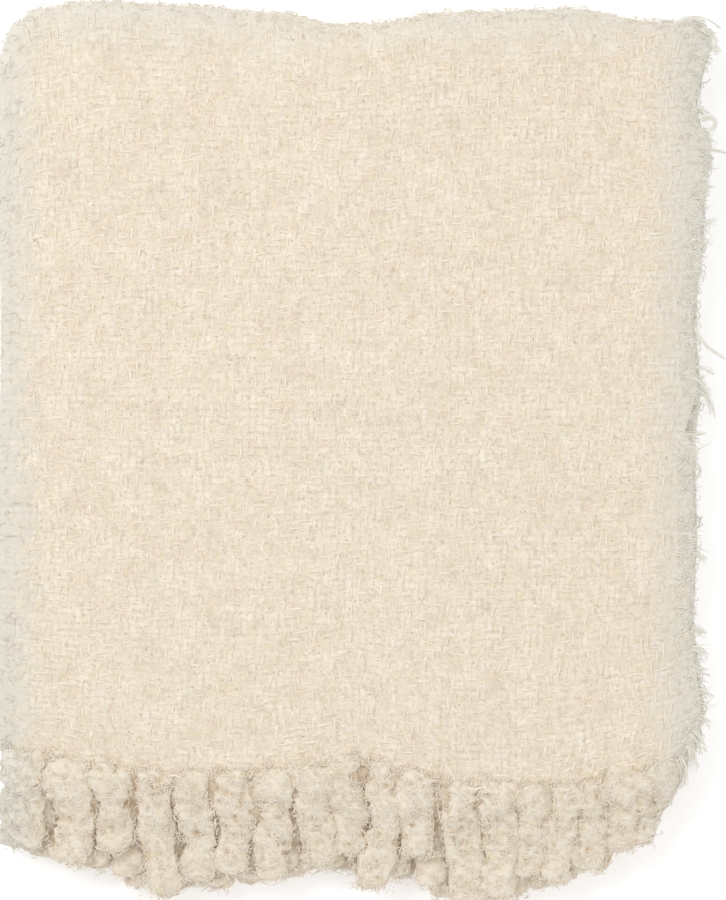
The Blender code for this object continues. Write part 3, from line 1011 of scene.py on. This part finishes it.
def grown(base, name, tree, values):
    """A plain mesh of what a geometry tree makes from a base object. The base is removed.
    What would dip below the floor is squeezed into the lowest bit above it."""
    modifier = base.modifiers.new(name, "NODES")
    modifier.node_group = tree
    sockets = {s.name: s.identifier for s in tree.interface.items_tree if s.in_out == "INPUT"}
    for label, value in values.items():
        modifier[sockets[label]] = value
    depsgraph = bpy.context.evaluated_depsgraph_get()
    mesh = bpy.data.meshes.new_from_object(base.evaluated_get(depsgraph))
    mesh.name = name
    bpy.data.objects.remove(base, do_unlink=True)
    if not mesh.polygons:
        raise RuntimeError(f"{name} came out empty")
    item = bpy.data.objects.new(name, mesh)
    bpy.context.scene.collection.objects.link(item)
    place = vertex_values(item, "co")
    above = place[:, 2] / FLOOR_LIFT
    place[:, 2] = np.where(above < 1.0, FLOOR_LIFT * np.exp(np.minimum(above - 1.0, 0.0)), place[:, 2])
    mesh.vertices.foreach_set("co", place.ravel())
    mesh.update()
    return item


def copy_with_pile(item, name, share):
    """A copy of a piece for fibres to grow on, with a share of the full count at each vertex."""
    copy = bpy.data.objects.new(name, item.data.copy())
    bpy.context.scene.collection.objects.link(copy)
    copy.data.attributes.new("pile", "FLOAT", "POINT").data.foreach_set("value", share)
    return copy


def outside_shares(item):
    """How thickly each vertex of the cloth bears fibres: the patchy top, the fluffy rim and the sides."""
    place = vertex_values(item, "co")
    facing = vertex_values(item, "normal")
    upper = (facing[:, 2] > 0.4) & (place[:, 2] > 33 * MM)
    patchy = np.clip(0.55 + 0.6 * lumps(place, 24 * MM, 19) + 0.3 * lumps(place, 9 * MM, 20), 0.1, 1.2)
    from_side = np.minimum(place[:, 0] + 217 * MM, 213 * MM - place[:, 0])
    from_far = 277 * MM + along(FAR_EDGE, place[:, 0] - CENTRING[0]) - place[:, 1]
    rim = eased((14 * MM - np.minimum(from_side, from_far)) / (12 * MM)) * (place[:, 2] > 14 * MM)
    rim *= 0.4 + 0.4 * (place[:, 0] > 180 * MM) + 0.35 * (from_far < from_side)
    rim *= (np.abs(facing[:, 2]) < 0.97) | upper
    side = (np.abs(facing[:, 2]) < 0.85) & ~upper
    return np.where(upper, patchy, 0.0), rim, np.where(side, 1.0 - 0.7 * rim, 0.0)


# Tassels


def tassel_row(number, tier):
    """Place, lean, reach, share of width at the root and space on the right of a tassel, in millimetres.
    Each tier lies between those above and below."""
    row = TASSELS[number]
    shift, short = TIERS[tier]
    beside = number + (1 if shift > 0 else -1)
    if 0 <= beside < len(TASSELS):
        row = [own + abs(shift) * (other - own) for own, other in zip(row, TASSELS[beside])]
    else:
        row = [row[0] + OUTERMOST_SHIFT * shift, *row[1:]]
    return [*row[:2], row[2] - short - 3.2 * math.sin(2.3 * number + 1.9 * tier), *row[3:]]


def tassel_line(number, tier, steps):
    """Points along the middle of a tassel as it lies, and its size at each."""
    across, lean, reach, root, _ = tassel_row(number, tier)
    distance = np.linspace(-6.0, reach, steps)
    share = np.clip(distance / reach, 0.0, 1.0)
    sway = 2.8 * np.sin(5.2 * share + 1.7 * number + 0.8 * tier) * share
    x = (across + lean * share * share + sway) * MM
    y = NEAR - STRIP - distance * MM
    group, layer = divmod(tier, 3)
    ply = GROUP_HEIGHTS[group + 2] + LAYER_PITCH * (layer - 1)
    middle = np.stack([x, y, np.full(steps, ply)], 1)
    rows = np.array(TASSEL_SIZES, float)
    size = np.interp(distance, rows[:, 0], rows[:, 1])
    size *= root + (1.0 - root) * eased(distance / 26.0)
    size *= 1.0 + 0.07 * np.sin(distance / (5.0 + number % 3) + 1.3 * number + tier)
    left = np.clip((reach - distance) / 6.0, 0.0, 1.0)
    return laid(middle), size * np.sqrt(1.0 - (1.0 - left) ** 2)


def half_widths(number, tier):
    """How far a tassel reaches to its left and to its right, by the space between it and its neighbours."""
    rows = [tassel_row(k, tier) for k in range(len(TASSELS))]
    full = sizes().tassel_width / 2
    halves = []
    for first in (number - 1, number):
        if 0 <= first < len(rows) - 1:
            free = (rows[first + 1][0] - rows[first][0]) / 2
            gap = rows[first][4] / 2 if tier == len(TIERS) - 1 else free - full / MM
            halves.append(min(free - gap, 13.5) * MM)
        else:
            halves.append(full if first < 0 else full - rows[first][4] * MM)
    return halves


def ridged(points, size, seed):
    """Narrow crests round soft pits, from -1 in a pit to 1 on a crest."""
    return 1.0 - 2.0 * np.abs(lumps(points, size, seed)) / 0.75


def tassel_tube(number, tier, steps, around, height, curls):
    """A fluffy lock as points, faces and the share of painted shade at each point, with lumps and crests of
    a few sizes.
    """
    line, size = tassel_line(number, tier, steps)
    ahead = np.gradient(line, axis=0)
    ahead /= np.linalg.norm(ahead, axis=1)[:, None]
    side = np.cross(ahead, (0.0, 0.0, 1.0))
    side /= np.linalg.norm(side, axis=1)[:, None]
    up = np.cross(side, ahead)
    angle = np.linspace(0.0, 2 * math.pi, around, endpoint=False)
    run = np.linspace(0.0, 1.0, steps)[:, None]
    radius = 1.0 + 0.07 * np.cos(angle[None] * 2 + run * 13.0 + number * 1.7)
    to_left, to_right = half_widths(number, tier)
    across = np.where(np.cos(angle) > 0.0, to_left, to_right) * np.cos(angle) * radius * size[:, None]
    swell = 0.5 + 0.5 * eased(run * 8.0)
    rise = np.sin(angle)[None] * radius * size[:, None] * swell * height / 2
    points = line[:, None] + side[:, None] * across[..., None] + up[:, None] * rise[..., None]
    out = side[:, None] * np.cos(angle)[None, :, None] + up[:, None] * np.sin(angle)[None, :, None]
    flat = points.reshape(-1, 3)
    seed = 40 * tier + number
    bulge = 1.5 * lumps(flat, 8.5 * MM, seed)
    for lump, depth in curls:
        bulge += depth * ridged(flat, lump * MM, seed + 1)
    # Painted shade: the pits between lumps, the sides that face down, and on the lower tiers the roots that
    # lie under the tiers above
    underside_shade = np.clip(0.45 - np.tile(np.sin(angle), steps), 0.0, 1.0)
    painted_shade = np.clip(-0.20 - 0.5 * bulge, 0.0, 1.0) + underside_shade
    if tier < len(TIERS) - 1:
        painted_shade += np.repeat(0.4 - 0.4 * eased((run[:, 0] - 0.35) / 0.35), around)
    strength = np.repeat(np.minimum(size * 1.4, 1.0) * swell[:, 0], around)
    flat = flat + out.reshape(-1, 3) * (bulge * strength * MM)[:, None]
    flat[:, 2] = np.maximum(flat[:, 2], 0.05 * MM)
    root, tip = len(flat), len(flat) + 1
    ends = np.array([line[0], line[-1]])
    ends[:, 2] = np.maximum(ends[:, 2], 0.3 * MM)
    faces = tube_faces(0, steps, around)
    last = (steps - 1) * around
    for at in range(around):
        beside = (at + 1) % around
        faces.append((root, beside, at))
        faces.append((tip, last + at, last + beside))
    return np.concatenate([flat, ends]), faces, np.concatenate([np.minimum(painted_shade, 1.0), [0.0, 0.0]])


def tassel_piece(name, tiers, steps, around, height, curls):
    """The tassels of some tiers as one mesh."""
    points = []
    faces = []
    painted_shade = []
    total = 0
    for tier in tiers:
        for number in range(len(TASSELS)):
            shape, sides, depth = tassel_tube(number, tier, steps, around, height, curls)
            points.append(shape)
            painted_shade.append(depth)
            faces += [tuple(v + total for v in face) for face in sides]
            total += len(shape)
    item = closed_object(name, np.concatenate(points), faces)
    item.data.attributes.new("painted_shade", "FLOAT", "POINT").data.foreach_set("value", np.concatenate(painted_shade))
    return item


def strand_piece(name, groups):
    """Strands of wool as one mesh: each group has its lines, a radius for each, its sides and its taper."""
    points = []
    faces = []
    first = 0
    for lines, radii, sides, taper in groups:
        count, steps = lines.shape[:2]
        ahead = np.gradient(lines, axis=1)
        ahead /= np.linalg.norm(ahead, axis=2, keepdims=True)
        side = np.cross(ahead, (0.13, 0.21, 0.97))
        side /= np.linalg.norm(side, axis=2, keepdims=True)
        up = np.cross(side, ahead)
        thin = radii[:, None] * (1.0 - taper * np.linspace(0.0, 1.0, steps)[None] ** 1.5)
        angle = np.arange(sides) * 2 * math.pi / sides
        ring = np.cos(angle)[:, None] * side[:, :, None] + np.sin(angle)[:, None] * up[:, :, None]
        points.append((lines[:, :, None] + thin[:, :, None, None] * ring).reshape(-1, 3))
        for strand in range(count):
            base = first + strand * steps * sides
            faces += tube_faces(base, steps, sides)
            last = base + (steps - 1) * sides
            faces.append(tuple(range(base + sides - 1, base - 1, -1)))
            faces.append(tuple(range(last, last + sides)))
        first += count * steps * sides
    return mesh_object(name, np.concatenate(points), faces)


def lying_strands(rng, across, run, heading, reach, lift):
    """Strands that lie on the uppermost ply and stand out past its edges, drooping a little as they do."""
    count = len(across)
    steps = 4
    share = np.linspace(0.0, 1.0, steps)[None]
    turn = heading[:, None] + rng.normal(0.0, 0.55, count)[:, None] * share
    step = (reach / (steps - 1))[:, None]
    x = across[:, None] + np.cumsum(np.cos(turn) * step, 1)
    y = run[:, None] + np.cumsum(np.sin(turn) * step, 1)
    arch = np.sin(share * math.pi) * rng.uniform(0.1, 1.0, count)[:, None] * MM
    even = top_surface(x.ravel(), y.ravel())
    beyond = np.maximum(x - RIGHT - 2 * MM, 0.0) + np.maximum(-STRIP - y + 1.5 * MM, 0.0)
    even[:, 2] += (lift[:, None] + arch).ravel() - 1.1 * np.minimum(beyond.ravel(), 4 * MM)
    return laid(even).reshape(count, steps, 3)


def splayed_tips(tier, count):
    """Strands that splay from the ends of a tier's tassels, as a group for a strand piece."""
    rng = np.random.default_rng(50 + tier)
    lines = []
    for number in range(len(TASSELS)):
        line, _ = tassel_line(number, tier, 24)
        ahead = line[-1] - line[-5]
        ahead /= np.linalg.norm(ahead)
        side = np.cross(ahead, (0.0, 0.0, 1.0))
        back = rng.uniform(0.0, 11.0, count)[:, None] * MM
        spread = rng.normal(0.0, 0.24, count)[:, None] * sizes().tassel_width
        rise = rng.uniform(-0.5, 0.9, count)[:, None] * 0.35 * sizes().top_tassel_height
        start = line[-1] - ahead * back + side * spread + np.array([0.0, 0.0, 1.0]) * rise
        heading = ahead + side * (spread * 45 + rng.normal(0.0, 0.35, count)[:, None])
        heading = heading + np.array([0.0, 0.0, 1.0]) * rng.normal(-0.1, 0.2, count)[:, None]
        heading /= np.linalg.norm(heading, axis=1)[:, None]
        share = np.linspace(0.0, 1.0, 5)[None, :, None]
        reach = rng.uniform(2.0, 5.0, count)[:, None, None] * MM
        wave = rng.normal(0.0, 1.5, count)[:, None, None] * MM * np.sin(share * 4.6)
        curl = start[:, None] + heading[:, None] * reach * share + side[None, None] * wave
        curl[..., 2] = np.maximum(curl[..., 2], 0.6 * MM)
        lines.append(curl)
    lines = np.concatenate(lines)
    return lines, rng.uniform(0.30, 0.60, len(lines)) * MM, 3, 0.5


# Selvedge


def wisp(rng, from_x, from_y, to_x, to_y, bow, radius, shortest):
    """The strands of one lock that stands out from the selvedge, as groups for a strand piece."""
    start, end = np.array([from_x, from_y]), np.array([to_x, to_y])
    across = np.array([end[1] - start[1], start[0] - end[0]]) / np.linalg.norm(end - start)
    share = np.linspace(0.0, 1.0, 8)[:, None]
    groups = []
    for _ in range(WISP_STRANDS):
        reach = start + (end - start) * share * rng.uniform(shortest, 1.03)
        line = reach - across * bow * np.sin(share * math.pi) + across * rng.normal(0, 0.6) * radius
        curl = np.sin(share * rng.uniform(4.0, 9.0) + rng.uniform(0.0, 6.0))
        line = line + across * (0.6 * radius * rng.normal(0.0, 1.0) * share**2 + 0.35 * curl)
        height = WISP_LEVEL - 2.5 * share + rng.normal(0.0, 0.5) * radius
        lock = np.concatenate([line, height], 1)[None] * MM
        groups.append((lock, np.array([rng.uniform(0.22, 0.28 + 0.22 * radius) * MM]), 4, 0.6))
    return groups


def open_loop(rng, x, y, half_width, half_length, radius):
    """The strands of one open loop beside the selvedge, as groups for a strand piece."""
    groups = []
    for _ in range(LOOP_STRANDS):
        angle = np.linspace(-2.7, 2.7, 15) * rng.uniform(0.6, 1.0) + rng.normal(0.0, 0.3)
        wide, long = rng.uniform(0.75, 1.1, 2)
        height = LOOP_LEVEL + 1.2 * np.cos(angle) + rng.normal(0.0, 0.6)
        aside = rng.normal(0.0, 0.4, 2)
        beside = x + aside[0] + half_width * wide * np.cos(angle)
        onward = y + aside[1] + half_length * long * np.sin(angle)
        thick = np.array([radius * rng.uniform(0.3, 0.5) * MM])
        groups.append((np.stack([beside, onward, height], 1)[None] * MM, thick, 4, 0.2))
    return groups


# Stage


def paper_floor():
    """A pale floor just under the throw."""
    bpy.ops.mesh.primitive_plane_add(size=8.0, location=(0.0, 0.0, -0.4 * MM))
    floor = bpy.context.object
    floor.name = "floor"
    paper = bpy.data.materials.new("white paper floor")
    paper.use_nodes = True
    for label, value in (
        ("Base Color", (*linear("FCFCFC"), 1.0)),
        ("Roughness", 1.0),
        ("Specular IOR Level", 0.0),
        ("Emission Color", (1.0, 1.0, 1.0, 1.0)),
        ("Emission Strength", 0.24),
    ):
        paper.node_tree.nodes["Principled BSDF"].inputs[label].default_value = value
    floor.data.materials.append(paper)


def soft_light(name, place, side, power):
    """A square lamp that shines on the throw."""
    light = bpy.data.lights.new(name, "AREA")
    light.shape = "SQUARE"
    light.size = side
    light.energy = power
    light.color = (1.0, 0.985, 0.96)
    lamp = bpy.data.objects.new(name, light)
    lamp.location = place
    aim = np.array([0.0, 0.0, 0.02]) - np.array(place)
    lamp.rotation_euler = Vector(aim).to_track_quat("-Z", "Y").to_euler()
    bpy.context.scene.collection.objects.link(lamp)


def overhead_camera():
    """A camera with a long lens, straight above the throw."""
    lens = bpy.data.cameras.new("camera")
    lens.sensor_width = 36.0
    lens.lens = 200.0
    lens.clip_start = 0.05
    lens.clip_end = 20.0
    camera = bpy.data.objects.new("camera", lens)
    height = VIEW_HEIGHT * lens.lens / lens.sensor_width
    camera.location = (3.7 * MM, 2.8 * MM, TOP_LEVEL + height)
    bpy.context.scene.collection.objects.link(camera)
    bpy.context.scene.camera = camera


# Operators


class ThrowOperator:
    """What every operator of the throw has in common."""

    bl_options = {"REGISTER"}


class THROW_OT_cloth(ThrowOperator, bpy.types.Operator):
    """Fold the cloth in thirds across and in half twice along its length"""

    bl_idname = "throw.cloth"
    bl_label = "Folded cloth"

    def execute(self, context):
        item = folded_cloth("throw_cloth")
        item.data.materials.append(cloth_wool())
        finish_piece(item, ["throw"])
        return {"FINISHED"}


class THROW_OT_weave(ThrowOperator, bpy.types.Operator):
    """Lay the floats of the warp and the weft on the uppermost panel"""

    bl_idname = "throw.weave"
    bl_label = "Twill weave"

    def execute(self, context):
        s = sizes()
        tree = float_tree()
        yarn = yarn_wool()
        for name, warp_wise, seed in (("warp_floats", True, 5), ("weft_floats", False, 6)):
            values = {"Radius": s.yarn_radius, "Rise": 1.1 * MM, "Sink": 1.0 * MM}
            values.update({"Seed": seed, "Wool": yarn})
            item = grown(float_anchors(f"{name} anchors", warp_wise), name, tree, values)
            kinked(item, 0.8 * MM, 3.0 * MM)
            finish_piece(item, [])
        return {"FINISHED"}


class THROW_OT_pile(ThrowOperator, bpy.types.Operator):
    """Brush up a loose pile over the top and the sides of the stack"""

    bl_idname = "throw.pile"
    bl_label = "Brushed pile"

    def execute(self, context):
        s = sizes()
        cloth = bpy.data.objects["throw_cloth"]
        tree = fibre_tree()
        fibre = pile_wool()
        top, rim, side = outside_shares(cloth)
        for name, share, count, length, radius, steps in (
            ("top_pile", top, 0.22, 1.0, 1.0, 2),
            ("edge_fluff", rim, 1.7, 0.62, 1.9, 3),
            ("side_pile", side, 0.42, 0.8, 1.4, 2),
        ):
            values = {
                "Count": count * s.pile_count,
                "Length": length * s.pile_length,
                "Bow": 0.35 * length * s.pile_length,
                "Lift": 0.32 * length * s.pile_length,
                "Radius": radius * s.pile_radius,
                "Steps": steps,
                "Seed": 21 + steps,
                "Wool": fibre,
            }
            item = grown(copy_with_pile(cloth, f"{name} base", share), name, tree, values)
            finish_piece(item, [])
        return {"FINISHED"}


class THROW_OT_selvedge(ThrowOperator, bpy.types.Operator):
    """Pull tufts and wisps of yarn out of the uppermost selvedge"""

    bl_idname = "throw.selvedge"
    bl_label = "Selvedge tufts"

    def execute(self, context):
        rng = np.random.default_rng(31)
        count = SELVEDGE_STRANDS
        across = RIGHT + SIDE_REACH - rng.uniform(1.0, 12.0, count) * MM
        run = rng.uniform(1 * MM, FAR_FOLD_CENTRE - NEAR + 24 * MM, count)
        place = np.stack([across * 0.0, run, run * 0.0], 1)
        ragged = 1.0 + 0.55 * lumps(place, 15 * MM, 32) + 0.45 * lumps(place, 6 * MM, 33)
        length = rng.uniform(3.5, 8.0, count) * ragged * MM
        lift = rng.uniform(-0.4, 0.5, count) * MM
        band = lying_strands(rng, across, run, rng.normal(0.0, 0.8, count), length, lift)
        groups = [(band, rng.uniform(0.2, 0.5, count) * MM, 4, 0.75)]
        for row in WISPS:
            groups += wisp(rng, *row)
        for row in LOOPS:
            groups += open_loop(rng, *row)
        item = strand_piece("selvedge_wisps", groups)
        item.data.materials.append(selvedge_wool())
        finish_piece(item, [])
        return {"FINISHED"}


class THROW_OT_near_end(ThrowOperator, bpy.types.Operator):
    """Fray the cloth's near end over the roots of the tassels, with a few bright weft yarns along it"""

    bl_idname = "throw.near_end"
    bl_label = "Frayed near end"

    def execute(self, context):
        rng = np.random.default_rng(35)
        count = NEAR_END_STRANDS
        across = rng.uniform(LEFT - 1 * MM, RIGHT + 1 * MM, count)
        run = rng.uniform(-8.0, 5.0, count) * MM
        uneven = 1.0 + 0.55 * lumps(np.stack([across, run * 0.0, run * 0.0], 1), 14 * MM, 36)
        length = rng.uniform(3.5, 8.0, count) * uneven * MM
        lift = rng.uniform(0.0, 0.9, count) * MM
        frayed = lying_strands(rng, across, run, rng.normal(-math.pi / 2, 0.75, count), length, lift)
        groups = [(frayed, rng.uniform(0.25, 0.50, count) * MM, 3, 0.6)]
        for start, end, inset in WEFT_ENDS:
            steps = 15
            x = np.linspace(start, end, steps) * MM
            wave = 0.9 * np.sin(np.linspace(0.0, 1.0, steps) * math.pi * (end - start) / 8.0 + start)
            even = top_surface(x, (inset - 4.0 + wave) * MM)
            even[:, 2] += 0.6 * MM
            groups.append((laid(even)[None], np.array([0.75 * MM]), 6, 0.3))
        item = strand_piece("near_end_fray", groups)
        item.data.materials.append(pile_wool())
        finish_piece(item, [])
        return {"FINISHED"}


class THROW_OT_tassels(ThrowOperator, bpy.types.Operator):
    """Twist the warp ends into thick curly tassels in six tiers"""

    bl_idname = "throw.tassels"
    bl_label = "Tassels"

    def execute(self, context):
        s = sizes()
        lock = tassel_wool()
        curl = curl_wool()
        tree = fibre_tree()
        coarse = ((5.2, 0.8), (3.0, 0.6))
        fine = ((5.2, 0.9), (2.9, 0.65), (1.9, 0.30))
        for name, tiers, steps, around, height, curls, replaced, count in (
            ("tassels_top", (5,), 64, 34, s.top_tassel_height, fine, [], 114000.0),
            ("tassels_upper", (3, 4), 44, 22, s.tassel_height, coarse, ["fringe_top"], 35000.0),
            ("tassels_second", (0, 1, 2), 24, 12, s.tassel_height, coarse, ["fringe_second"], 6000.0),
        ):
            item = tassel_piece(name, tiers, steps, around, height, curls)
            item.data.materials.append(lock)
            base = copy_with_pile(item, f"{name} curl base", np.ones(len(item.data.vertices)))
            values = {
                "Count": count,
                "Length": s.curl_length,
                "Bow": 0.8 * s.curl_length,
                "Lift": 0.30 * s.curl_length,
                "Radius": s.curl_radius,
                "Steps": 2,
                "Seed": len(tiers) + 40,
                "Wool": curl,
            }
            curled = grown(base, f"{name}_curls", tree, values)
            finish_piece(item, replaced)
            finish_piece(curled, [])
        tips = strand_piece("tassel_tips", [splayed_tips(tier, count) for tier, count in TIP_STRANDS])
        tips.data.materials.append(curl)
        finish_piece(tips, [])
        return {"FINISHED"}


class THROW_OT_stage(ThrowOperator, bpy.types.Operator):
    """Lay a pale floor and set soft lights and the camera"""

    bl_idname = "throw.stage"
    bl_label = "Stage"

    def execute(self, context):
        scene = context.scene
        paper_floor()
        world = bpy.data.worlds.new("studio")
        world.use_nodes = True
        sky = world.node_tree.nodes["Background"]
        sky.inputs["Color"].default_value = (0.97, 0.985, 1.0, 1.0)
        sky.inputs["Strength"].default_value = 0.72
        scene.world = world
        soft_light("key", (-1.15, 1.05, 1.95), 1.3, 21.0)
        soft_light("fill", (1.4, -0.9, 2.0), 2.2, 9.0)
        overhead_camera()
        scene.view_settings.view_transform = "Standard"
        return {"FINISHED"}


class THROW_PT_panel(bpy.types.Panel):
    """Lists the pieces of the throw"""

    bl_label = "Throw"
    bl_idname = "THROW_PT_panel"
    bl_space_type = "VIEW_3D"
    bl_region_type = "UI"
    bl_category = "Throw"

    def draw(self, context):
        for group in (context.scene.throw_sizes, context.scene.throw_colours):
            for label in group.__annotations__:
                self.layout.prop(group, label)
        for operator in OPERATORS:
            self.layout.operator(operator.bl_idname)


OPERATORS = (
    THROW_OT_cloth,
    THROW_OT_weave,
    THROW_OT_pile,
    THROW_OT_selvedge,
    THROW_OT_near_end,
    THROW_OT_tassels,
    THROW_OT_stage,
)
CLASSES = (ThrowSizes, ThrowColours, *OPERATORS, THROW_PT_panel)


def register():
    """Adds the settings, the operators and the panel."""
    for item in CLASSES:
        bpy.utils.register_class(item)
    bpy.types.Scene.throw_sizes = bpy.props.PointerProperty(type=ThrowSizes)
    bpy.types.Scene.throw_colours = bpy.props.PointerProperty(type=ThrowColours)


def unregister():
    """Takes the settings, the operators and the panel away again."""
    del bpy.types.Scene.throw_colours
    del bpy.types.Scene.throw_sizes
    for item in reversed(CLASSES):
        bpy.utils.unregister_class(item)


def main():
    """Builds every piece of the throw."""
    register()
    bpy.ops.throw.cloth()
    bpy.ops.throw.weave()
    bpy.ops.throw.pile()
    bpy.ops.throw.selvedge()
    bpy.ops.throw.near_end()
    bpy.ops.throw.tassels()
    bpy.ops.throw.stage()
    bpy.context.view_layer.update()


if __name__ == "__main__":
    main()
